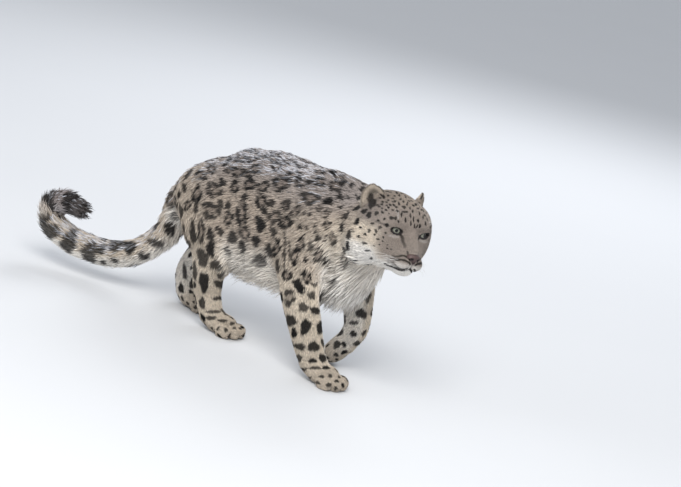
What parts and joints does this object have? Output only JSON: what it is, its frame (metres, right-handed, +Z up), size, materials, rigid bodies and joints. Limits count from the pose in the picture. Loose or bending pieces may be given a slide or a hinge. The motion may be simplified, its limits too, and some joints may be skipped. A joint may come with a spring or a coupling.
{
  "type": "snow leopard",
  "caption": "Life-size snow leopard in winter coat, standing in mid-step with its head turned and its long tail curled up at the end.",
  "frame": {"origin": "on the floor under the middle of the bounding box", "axes": "+X towards the head, +Y to the animal's left, +Z up"},
  "size_m": [1.4216, 0.3252, 0.6228],
  "materials": {
    "coat": "dense winter fur, smoky grey with dark rosettes, white below",
    "eye": "wet gloss",
    "nose": "matt leather"
  },
  "bodies": {
    "root": {"torso": "coat", "neck": "coat", "head": "coat", "face": "coat", "foreleg_right": "coat", "forepaw_right": "coat", "foreleg_left": "coat", "forepaw_left": "coat", "hindleg_right": "coat", "hindpaw_right": "coat", "hindleg_left": "coat", "hindpaw_left": "coat", "tail_1": "coat", "tail_2": "coat", "tail_3": "coat", "tail_4": "coat", "ear_left": "coat", "ear_right": "coat", "eye_left": "eye", "eye_right": "eye", "nose": "nose"}
  },
  "joints": []
}
